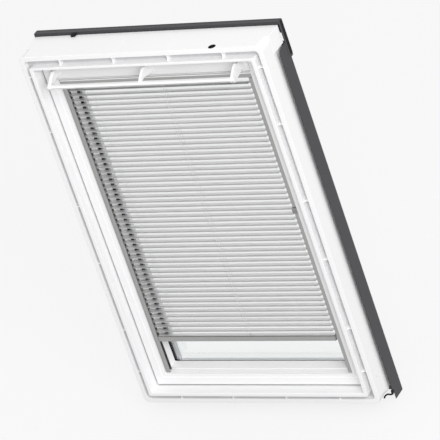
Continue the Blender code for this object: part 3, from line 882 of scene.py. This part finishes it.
def cover_screws():
    """Pan-head screws through the side covers' back flanges: a dome that is a quarter of an oval,
    over a short skirt."""
    skirt, rise, radius, shank = 0.5, 1.7, 4.2, 2.0
    screw_x, screw_heights = 371, (150, 445, 740, 1035)
    base = FLANGE_BACK + skirt
    dome = [(base + rise * math.sin(a), radius * math.cos(a)) for a in np.linspace(0, 1.35, 7)]
    profile = [(FLANGE_BACK - 2, shank), (FLANGE_BACK, shank), (FLANGE_BACK, radius), *dome]
    places = [(side * screw_x, z) for side in (-1, 1) for z in screw_heights]
    shapes = [turned(profile, "y", place, sides=24) for place in places]
    show("cover_screws", [(ZINC, s) for s in shapes], "frame")


def corner_seal(name, side):
    """The rubber lip that curls out from under the side cover at the frame's lower corner. Its
    radius swells as exp(-u^2), with u how far along it is from the thickest place. The curl's
    points are (depth, z)."""
    x = side * (FRAME_HALF + 1.8)
    curl = [(85, -7), (84, -12), (78, -15.5), (67, -10.5), (54, -0.5), (44, 3.5), (35, 4.5), (31, 2)]
    path = curve_through([(x, depth, z) for depth, z in curl], 33)
    share = np.linspace(0, 1, len(path))
    radius, swell, thickest, spread = 2.5, 0.6, 0.16, 0.18
    radii = radius + swell * np.exp(-((share - thickest) / spread) ** 2)
    plug = block_beside(side, (FRAME_HALF - 1, 76, -14), (FRAME_HALF + 4.6, 87, -4), radius=2.4)
    show(name, [(RUBBER, swept(path, radii, (1, 0, 0))), (RUBBER, plug)], "frame")


# Sash, its cover and its glass


def sash_moulding():
    """Mitred sweep of the stepped face, the sloping sill, the rail shelf and the glass rebate,
    with the recess for the vent flap cut into its top rail."""
    band, face, rebate = 24.0, SASH_FRONT + SASH_STEP, (30, 34, 37)
    sill_foot, shelf_edge, glass_line = 40, 42, 50.5
    rows = [
        (0, 0, 0, SASH_FRONT),
        (band, band, band, SASH_FRONT),
        (band + SASH_STEP, band + SASH_STEP, band + SASH_STEP, face),
        (STILE_FACE, SILL_FACE, HEAD_FACE, face),
        (STILE_FACE, sill_foot, HEAD_FACE, SHELF_DEPTH),
        (STILE_FACE + 10, shelf_edge, HEAD_FACE + 1, SHELF_DEPTH),
        (STILE_FACE + 16, glass_line, HEAD_FACE + 3, GLASS_SEAT),
        (*rebate, GLASS_SEAT),
        (*rebate, SASH_BACK),
        (0, 0, 0, SASH_BACK),
    ]
    radii = [2.4, 1.2, 1.0, 1.6, 0.5, 0.8, 0.5, 0.5, 0.5, 1.0]
    shape = mitred(rows, radii, SASH_HALF, SASH_BOTTOM, SASH_TOP)
    mesh = new_mesh("sash_moulding", [(SASH_LACQUER, shape)])
    recess_front, recess_back, bore_radius = 20, 49, 2.5
    low = (-FLAP_RECESS_HALF, recess_front, FLAP_BOTTOM - 1)
    high = (FLAP_RECESS_HALF, recess_back, SASH_TOP + 10)
    recess = block(low, high, radius=1.2)
    bore = [(FLAP_PIN_START, bore_radius), (FLAP_PIN_END + 0.4, bore_radius)]
    bores = turned_pair(bore, FLAP_PIN, sides=20)
    piece("sash_moulding", cut(mesh, [recess, *bores]), "sash", ["sash_frame"])


def pivot_pins():
    """The two steel pins on which the sash swings, bevelled at their outer ends."""
    start, end, bevel = SASH_HALF - 3, PIVOT_END, 1
    profile = [(start, PIVOT_RADIUS), (end - bevel, PIVOT_RADIUS), (end, PIVOT_RADIUS - bevel)]
    show("pivot_pins", [(ZINC, pin) for pin in turned_pair(profile, PIVOT)], "sash")


def running_seal():
    """The rubber lip round the sash's edge, which fills most of the gap to the frame."""
    near, far, reach, root = SASH_FRONT + 2.6, SASH_FRONT + 7.4, 2.0, 0.3
    section = [(-reach, near + 1), (-reach, far - 1), (root, far), (root, near)]
    rows = [(inset, inset, inset, depth) for inset, depth in section]
    lip = mitred(rows, [0.6, 0.6, 0.2, 0.2], SASH_HALF, SASH_BOTTOM, SASH_TOP, corner=1.5)
    show("running_seal", [(RUBBER, lip)], "sash")


def pivot_plates():
    """The plates on the sash's edges, from which the pivots stand out."""
    pivot_steel("pivot_plates", "sash", SASH_HALF, (-0.4, 0.9, 1.2), rim=24, bore=7.2)


def sash_cover():
    """Mitred sweep of the outside cover: a flat back and a bevel down to the glass. The opening
    lies nearer to the sash's edge at the bottom, so that the glass meets the sill."""
    near, far = SASH_BACK + 0.3, SASH_HIGH[1]
    opening, bevel_top = (50, 38, 50), (45, 35, 45)
    rows = [(0, 0, 0, near), (*opening, near), (*opening, near + 2), (*bevel_top, far), (0, 0, 0, far)]
    radii = [0.6, 0.4, 0.5, 1.4, 1.6]
    shape = mitred(rows, radii, SASH_HALF, SASH_BOTTOM, SASH_TOP, corner=0.9, seam=0.5)
    show("sash_cover", [(COVER, shape)], "sash", ["sash_cladding"])


def glass_panes():
    """Two 4 mm panes with ground edges."""
    low, high, inset = GLASS_LOW, GLASS_HIGH, 0.1
    outline = soften(rectangle((low[0], low[2]), (high[0], high[2])), 1.5)
    for name, start in (("pane_room", low[1] + inset), ("pane_outside", high[1] - PANE - inset)):
        shape = length_of(outline, "y", start, start + PANE, ease=0.4)
        made = show(name, [(GLASS, shape)], "sash")
    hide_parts("glass_unit")


def glass_edge():
    """The spacer between the panes, the sealant round it and the glazing gasket on the room side.
    Insets from the glass's edges are (side, bottom, top)."""
    edges = (GLASS_HIGH[0], GLASS_LOW[2], GLASS_HIGH[2])
    gap = (GLASS_LOW[1] + PANE + 0.4, GLASS_HIGH[1] - PANE - 0.4)
    under = (GLASS_LOW[1] - 2.0, GLASS_LOW[1])
    spacer = band((29.0, 6.5, 20.3), (35.4, 12.9, 30.7), gap, 0.8, edges, corner=1.0)
    seal = band((0.5, 0.5, 0.5), (28.8, 6.3, 20.1), gap, 0.8, edges, corner=1.0)
    gasket = band((21.6, 14.4, 17.6), (23.4, 16.5, 19.6), under, 0.7, edges, corner=1.0)
    show("spacer_bar", [(SPACER, spacer)], "sash")
    show("edge_seal", [(RUBBER, seal)], "sash")
    show("glazing_gasket", [(RUBBER, gasket)], "sash")


# Control bar and vent flap


def flap_panel():
    """The flap's section: a face that bows back towards its lower edge as the square of the way
    down, and a flat back. Its two pins are turned."""
    share = np.linspace(0, 1, 12)
    bow = 3.2
    face_depth = FLAP_FRONT + bow * share**2
    face_z = FLAP_TOP - 0.8 - share * (FLAP_TOP - FLAP_BOTTOM - 3.0)
    face = np.stack([face_depth, face_z], axis=1)
    rest = [
        (FLAP_FRONT + 4.6, FLAP_BOTTOM + 0.5),
        (FLAP_FRONT + 6.2, FLAP_BOTTOM),
        (FLAP_BACK, FLAP_BOTTOM),
        (FLAP_BACK, FLAP_TOP),
        (FLAP_FRONT + 0.8, FLAP_TOP),
    ]
    outline = np.vstack([face, rest])
    shapes = [(POWDER, length_of(outline, "x", -FLAP_HALF, FLAP_HALF, ease=0.5))]
    pin = [(FLAP_PIN_START, 2.2), (FLAP_PIN_END - 1, 2.2), (FLAP_PIN_END, 1.6)]
    shapes += [(ZINC, shape) for shape in turned_pair(pin, FLAP_PIN, sides=20)]
    show("flap_panel", shapes, "vent_bar", ["control_bar"])


def grip_bar():
    """The pull bar: a rounded tube whose front tapers in below, for the fingers."""
    near, low = BAR_CENTRE[0] - BAR_REACH[0], BAR_CENTRE[1] - BAR_REACH[1]
    far, high = BAR_CENTRE[0] + BAR_REACH[0], BAR_CENTRE[1] + BAR_REACH[1]
    rows = [
        (near + 3, high),
        (near, high - 3.6),
        (near + 0.3, high - 5.2),
        (near + 5, low),
        (far - 3, low),
        (far, low + 5),
        (far - 2, high),
    ]
    outline = soften(rows, [3.2, 2.4, 1.0, 1.6, 3.6, 3.6, 3.6])
    shape = length_of(outline, "x", -BAR_HALF + 1, BAR_HALF - 1, ease=1.6, steps=5)
    show("grip_bar", [(POWDER, shape)], "vent_bar")


def bar_arm(name, centre, width, hook, heel, crook):
    """An arm in side view: its front bends from the flap to the bar, goes round the bar in a
    quarter of an oval, and bends back to the heel. The end arms are an angle in section: a
    flange along the front and a web along the outer side."""
    t = np.linspace(0, 1, 14)[:, None]
    root = FLAP_FRONT + 3.0
    depth, height, reach = BAR_CENTRE[0], BAR_CENTRE[1] + 1.5, BAR_REACH[0] + 0.25
    top, brow = np.array([8.0, ARM_TOP]), np.array([-11.0, ARM_TOP - 8])
    nose = np.array([depth - reach, height])
    upper = bend(top, brow, nose, t)
    turn = np.linspace(math.pi, 1.5 * math.pi, 7)[1:]
    chin = np.stack([depth + reach * np.cos(turn), height + hook * np.sin(turn)], axis=1)
    lower = bend(chin[-1], np.array(crook), np.array(heel), t)
    front = np.vstack([[(root, ARM_TOP)], upper, chin])
    outline = np.vstack([front, lower[1:], [(root, heel[1])]])
    low, high = centre - width / 2, centre + width / 2
    if centre == 0:
        shapes = [length_of(outline, "x", low, high, ease=1.0, steps=4)]
    else:
        along = np.gradient(front, axis=0)
        along /= np.linalg.norm(along, axis=1, keepdims=True)
        inward = np.stack([-along[:, 1], along[:, 0]], axis=1)
        flange = np.vstack([front, (front + ARM_WALL * inward)[::-1]])
        web = (high - ARM_WALL, high - 0.2) if centre > 0 else (low + 0.2, low + ARM_WALL)
        shapes = [
            length_of(flange, "x", low, high, ease=0.9, steps=4),
            length_of(outline, "x", *web, ease=0.8, steps=4),
        ]
    show(name, [(POWDER, s) for s in shapes], "vent_bar")


# Blind


def headrail():
    """The folded channel that hides the cords: rounded lower edges, a return at the top and a bead along its
    front. The bead's slope faces up, and its white, unlike the channel's metal, stands for the light line
    along the headrail's top edge: a painted highlight."""
    front, back, low, high = HEAD_LOW[1], HEAD_HIGH[1], HEAD_LOW[2], HEAD_HIGH[2]
    wall, lip = 1.2, 3
    rows = [
        (front, low),
        (back, low),
        (back, high),
        (back - wall, high),
        (back - wall, low + wall),
        (front + wall, low + wall),
        (front + wall, high - 1),
        (front + lip, high - 1),
        (front + lip, high),
        (front, high),
    ]
    outline = soften(rows, [1.6, 1.6, 0.3, 0.3, 0.6, 0.6, 0.3, 0.3, 0.3, 0.8])
    shape = length_of(outline, "x", HEAD_LOW[0], HEAD_HIGH[0], ease=0.15)
    # The bead takes the white powder coat rather than the channel's metal, so that it shows as a light line:
    # a painted highlight.
    root, nose = front + 0.5, front - 1.1
    bead = [(root, high - 3), (nose, high - 5.6), (nose, high - 6.6), (root, high - 7)]
    strip = length_of(soften(bead, 0.3), "x", HEAD_LOW[0] + 1, HEAD_HIGH[0] - 1, ease=0.15)
    show("headrail_highlight_bead", [(POWDER, strip)], "sash")
    show("headrail_channel", [(ALUMINIUM, shape)], "sash", ["headrail"])


def guide_rail(name, side, node):
    """The slotted rail. Its foot is cut to the sill's slope: there a point's height grows with
    its distance from the front."""
    inner, outer, front, back = RAIL_LOW[0], RAIL_HIGH[0], RAIL_LOW[1], RAIL_HIGH[1]
    half_slot, slot_floor, sill_slope = 4.5, inner + 9.8, 0.3
    slot_front, slot_back = SLAT_DEPTH - half_slot, SLAT_DEPTH + half_slot
    rows = [
        (outer, front),
        (inner, front),
        (inner, slot_front),
        (slot_floor, slot_front),
        (slot_floor, slot_back),
        (inner, slot_back),
        (inner, back),
        (outer, back),
    ]
    outline = soften(rows, [0.8, 0.9, 0.4, 0.3, 0.3, 0.4, 0.6, 0.6]) * (side, 1)
    points, faces = length_of(outline, "z", RAIL_LOW[2], RAIL_HIGH[2], ease=0.15)
    lower = points[:, 2] < RAIL_LOW[2] + 1
    points[lower, 2] += sill_slope * (points[lower, 1] - front)
    show(name, [(ALUMINIUM, (points, faces))], "sash", [node])


def slat_mesh():
    """One slat about its own axis: an arc across with a constant thickness, turned to its rest
    tilt, its corners rounded as a circle seen from above. A pin stands out at each end."""
    radius = (SLAT_WIDTH**2 / 4 + SLAT_CROWN**2) / (2 * SLAT_CROWN)
    corner = 3.5
    ease = corner * (1 - np.cos(np.linspace(0, math.pi / 2, 6)))
    half = SLAT_WIDTH / 2 - corner + np.sqrt(np.maximum(corner**2 - (corner - ease) ** 2, 0))
    x = np.concatenate([-SLAT_HALF + ease, (SLAT_HALF - ease)[::-1]])
    half = np.concatenate([half, half[::-1]])
    across = np.linspace(1, -1, 11)[None, :] * half[:, None]
    rise = np.sqrt(radius**2 - across**2) - radius + SLAT_CROWN / 2
    depth = np.concatenate([across, across[:, ::-1]], axis=1)
    z = np.concatenate([rise + SLAT_THICK / 2, rise[:, ::-1] - SLAT_THICK / 2], axis=1)
    turn = math.radians(-SLAT_TILT)
    turned_depth = depth * math.cos(turn) - z * math.sin(turn)
    turned_z = depth * math.sin(turn) + z * math.cos(turn)
    spread = np.broadcast_to(x[:, None], depth.shape)
    strip = skin(np.stack([spread, turned_depth + SLAT_DEPTH, turned_z], axis=-1))
    slot = oval(*CORD_SLOT, (CORD_X, SLAT_DEPTH), sides=24, power=0.7)
    hole = length_of(slot, "z", -SLAT_WIDTH / 4, SLAT_WIDTH / 4)
    mesh = cut(new_mesh("slat_strip", [(ENAMEL, strip)]), [hole])
    start, end, pin_radius = SLAT_HALF - 4, SLAT_HALF + 6.5, 1.9
    profile = [(start, 0.8), (start + 2, pin_radius), (end - 0.5, pin_radius), (end, 1.4)]
    pins = turned_pair(profile, (SLAT_DEPTH, 0), sides=12)
    return mesh, new_mesh("slat_pins", [(PLASTIC, pin) for pin in pins])


def blind_slats():
    """Every slat rides on its own body, and all of them gather at the headrail while the blind
    rises. One more slat lies level on the lift rail. Returns the height left, as a share."""
    strip, pins = slat_mesh()
    head = HEAD_LOW[2]
    free = head - LIFT_RAIL_HIGH[2]
    gathered = (free - LIFT_TRAVEL) / free
    for number, (low, high) in enumerate(SLAT_BOX, 1):
        height = (low[2] + high[2]) / 2
        for kind, mesh in (("slat_leaf", strip), ("slat_pins", pins)):
            own = mesh.copy()
            own.transform(Matrix.Translation((0, 0, height * MM)))
            made = piece(f"{kind}_{number:02d}", own, f"slat_{number:02d}")
            if kind == "slat_leaf":
                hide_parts(f"slat_{number:02d}")
            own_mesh(made)
    resting = strip.copy()
    level = Matrix.Rotation(math.radians(-SLAT_TILT), 4, "X")
    axis = Matrix.Translation((0, LIP_Y + SLAT_DEPTH * MM, 0))
    lowered = Matrix.Translation((0, 0, (LIFT_RAIL_HIGH[2] + 0.2) * MM))
    resting.transform(lowered @ axis @ level @ axis.inverted())
    piece("resting_slat", resting, "blind_bottom")
    return gathered


def lift_rail():
    """The bottom rail's section with a crowned top, its end caps and their guides."""
    room_for_slat = 2
    depth, z = SLAT_DEPTH, (LIFT_RAIL_LOW[2] + LIFT_RAIL_HIGH[2] - room_for_slat) / 2
    half_width, half_height, crown, crown_half = 10.5, 7.75, 1.6, 4
    rows = [
        (depth + half_width, z - half_height),
        (depth + half_width, z + half_height),
        (depth + crown_half, z + half_height + crown),
        (depth - crown_half, z + half_height + crown),
        (depth - half_width, z + half_height),
        (depth - half_width, z - half_height),
    ]
    outline = soften(rows, [2.4, 2.0, 4, 4, 2.0, 2.4])
    body = length_of(outline, "x", -SLAT_HALF + 2.2, SLAT_HALF - 2.2, ease=0.2)
    cap_outline = soften(rows, [2.6, 2.2, 4, 4, 2.2, 2.6])
    guide_outline = oval(4.0, 4.8, (depth, z), sides=24, power=0.7)
    caps = []
    for side in (-1, 1):
        ends = sorted((side * (SLAT_HALF - 2.4), side * SLAT_HALF))
        caps.append((PLASTIC, length_of(cap_outline, "x", *ends, ease=0.8)))
        ends = sorted((side * (SLAT_HALF - 1), side * (SLAT_HALF + 6.8)))
        caps.append((PLASTIC, length_of(guide_outline, "x", *ends, ease=0.6)))
    show("lift_rail_caps", caps, "blind_bottom")
    show("lift_rail", [(ALUMINIUM, body)], "blind_bottom", ["bottom_rail"])


def cords():
    """The ladder's two strings and the lift cord between them, from headrail to lift rail."""
    bite = 0.5
    low, high = LIFT_RAIL_HIGH[2] - bite, HEAD_LOW[2] + bite
    for name, depth, radius in (
        ("ladder_string_front", SLAT_DEPTH - STRING_REACH, STRING_RADIUS),
        ("lift_cord", SLAT_DEPTH, CORD_RADIUS),
        ("ladder_string_back", SLAT_DEPTH + STRING_REACH, STRING_RADIUS),
    ):
        profile = [(z, radius) for z in np.linspace(low, high, 40)]
        shape = turned(profile, "z", (CORD_X, depth), sides=8)
        made = show(name, [(BRAID, shape)], "sash")
        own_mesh(made)


def tilt_slider():
    """The finger slide: a rounded plate with grip ribs and a leg that hooks round the rail."""
    low, high = SLIDER_LOW, SLIDER_HIGH
    back, rib_height, leg_width = RAIL_LOW[1] - 0.3, 1.4, 2.4
    plate = block((low[0], low[1] + rib_height, low[2]), (high[0], back, high[2]), radius=1.4, axis="y")
    leg_low, leg_high = (low[0], back - 2, low[2] + 0.4), (low[0] + leg_width, high[1], high[2] - 0.4)
    leg = block(leg_low, leg_high, radius=0.6)
    left, right, half = low[0] + 2.5, high[0] - 2.5, 0.7
    ribs = [
        block((left, low[1], z - half), (right, low[1] + 3, z + half), radius=0.6, axis="x")
        for z in np.linspace(low[2] + 3.5, high[2] - 3.5, 5)
    ]
    parts = [(PLASTIC, shape) for shape in (plate, leg, *ribs)]
    show("tilt_slide_button", parts, "tilt_slide", ["tilt_slider"])


# Floor, light and camera

BACKDROP = "#F8F8F8"


def backdrop_rays(tree):
    """One for rays of the camera, gloss and glass, nothing for the rest."""
    path = add(tree, "ShaderNodeLightPath", {})
    seen = path.outputs["Is Camera Ray"]
    for kind in ("Is Glossy Ray", "Is Transmission Ray"):
        seen = add(tree, "ShaderNodeMath", {0: seen, 1: path.outputs[kind]}, operation="MAXIMUM").outputs[0]
    return seen


def paper_sweep(view_colour, shadow_share):
    """Matt backdrop paper: it is seen pale, with a share of its own soft shading left in it."""
    made = surface(
        "paper_sweep",
        colours=("#9C9C9C", "#999999"),
        patch=900,
        roughness=(0.9, 0.95),
        grain=2,
        depth=0.0,
    )
    tree = made.node_tree
    glow = add(tree, "ShaderNodeEmission", {"Color": linear(view_colour), "Strength": 1.0})
    white = add(tree, "ShaderNodeBsdfDiffuse", {"Color": linear(view_colour)})
    seen = add(tree, "ShaderNodeMixShader", {0: shadow_share, 1: glow.outputs[0], 2: white.outputs[0]})
    paper = tree.nodes["Principled BSDF"].outputs[0]
    mixed = add(tree, "ShaderNodeMixShader", {0: backdrop_rays(tree), 1: paper, 2: seen.outputs[0]})
    tree.links.new(mixed.outputs[0], tree.nodes["Material Output"].inputs["Surface"])
    return made


def floor(view_colour):
    """A wide pale floor under the window's feet."""
    half, gap = 15.0, 0.0005
    corners = [(x, y, COVER_LOW[2] * MM - gap) for x, y in rectangle((-half, -half), (half, half))]
    mesh = bpy.data.meshes.new("floor")
    mesh.from_pydata(corners, [], [(0, 1, 2, 3)])
    mesh.materials.append(paper_sweep(view_colour, shadow_share=0.12))
    made = bpy.data.objects.new("floor", mesh)
    bpy.context.scene.collection.objects.link(made)


def lamp(name, place, target, size, watts):
    """A square area lamp that faces a target; places and size are in metres."""
    data = bpy.data.lights.new(name, "AREA")
    data.size, data.energy = size, watts
    made = bpy.data.objects.new(name, data)
    made.location = place
    made.rotation_mode = "QUATERNION"
    made.rotation_quaternion = (Vector(target) - Vector(place)).to_track_quat("-Z", "Y")
    bpy.context.scene.collection.objects.link(made)


def daylight(strength, view_colour):
    """An even dome of light; what the camera, gloss and glass see of it is the pale backdrop."""
    world = bpy.data.worlds.new("studio")
    bpy.context.scene.world = world
    world.use_nodes = True
    tree = world.node_tree
    light = tree.nodes["Background"]
    light.inputs["Color"].default_value = (1, 1, 1, 1)
    light.inputs["Strength"].default_value = strength
    backdrop = add(tree, "ShaderNodeBackground", {"Color": linear(view_colour), "Strength": 1.0})
    sources = {0: backdrop_rays(tree), 1: light.outputs[0], 2: backdrop.outputs[0]}
    mixed = add(tree, "ShaderNodeMixShader", sources)
    tree.links.new(mixed.outputs[0], tree.nodes["World Output"].inputs["Surface"])


def camera():
    """Looks down on the window from the right, and leans to one side. The way back from the
    target is (sin a cos e, -cos a cos e, sin e), with a the azimuth and e the elevation."""
    target, distance = Vector((0.0401, 0.0, 0.5940)), 11.28687
    azimuth, elevation, roll = math.radians(35.055), math.radians(27.788), math.radians(-19.3547)
    back = Vector((
        math.sin(azimuth) * math.cos(elevation),
        -math.cos(azimuth) * math.cos(elevation),
        math.sin(elevation),
    ))
    data = bpy.data.cameras.new("camera")
    data.sensor_width, data.lens, data.clip_end = 36.0, 329.2, 100.0
    made = bpy.data.objects.new("camera", data)
    made.location = target + back * distance
    made.rotation_mode = "QUATERNION"
    made.rotation_quaternion = (-back).to_track_quat("-Z", "Y") @ Quaternion((0, 0, 1), roll)
    bpy.context.scene.collection.objects.link(made)
    bpy.context.scene.camera = made


# The window, piece by piece

camera()
frame_moulding()
groove_webs()
groove_shade_strip()
vent_hole_liner()
cover_bumper()
pivot_sockets()
cover_hood()
hood_arm("hood_arm_left", -1)
hood_arm("hood_arm_right", 1)
cover_side("cover_side_left", -1)
cover_side("cover_side_right", 1)
cover_bottom()
cover_screws()
corner_seal("corner_seal_left", -1)
corner_seal("corner_seal_right", 1)
pivot_pins()
running_seal()
sash_moulding()
pivot_plates()
sash_cover()
glass_panes()
glass_edge()
flap_panel()
grip_bar()
bar_arm("bar_arm_left", -BAR_HALF + END_ARM / 2, END_ARM, *END_ARM_SHAPE)
bar_arm("bar_arm_middle", 0, MIDDLE_ARM, *MIDDLE_ARM_SHAPE)
bar_arm("bar_arm_right", BAR_HALF - END_ARM / 2, END_ARM, *END_ARM_SHAPE)
headrail()
guide_rail("rail_left", -1, "guide_rail_left")
guide_rail("rail_right", 1, "guide_rail_right")
gathered_share = blind_slats()
lift_rail()
cords()
tilt_slider()
floor(BACKDROP)
daylight(strength=0.755, view_colour=BACKDROP)
lamp("soft_key", place=(5.7, -5.7, 4.8), target=(0, 0, 0.6), size=5.0, watts=610)
bpy.context.scene.view_settings.view_transform = "Standard"
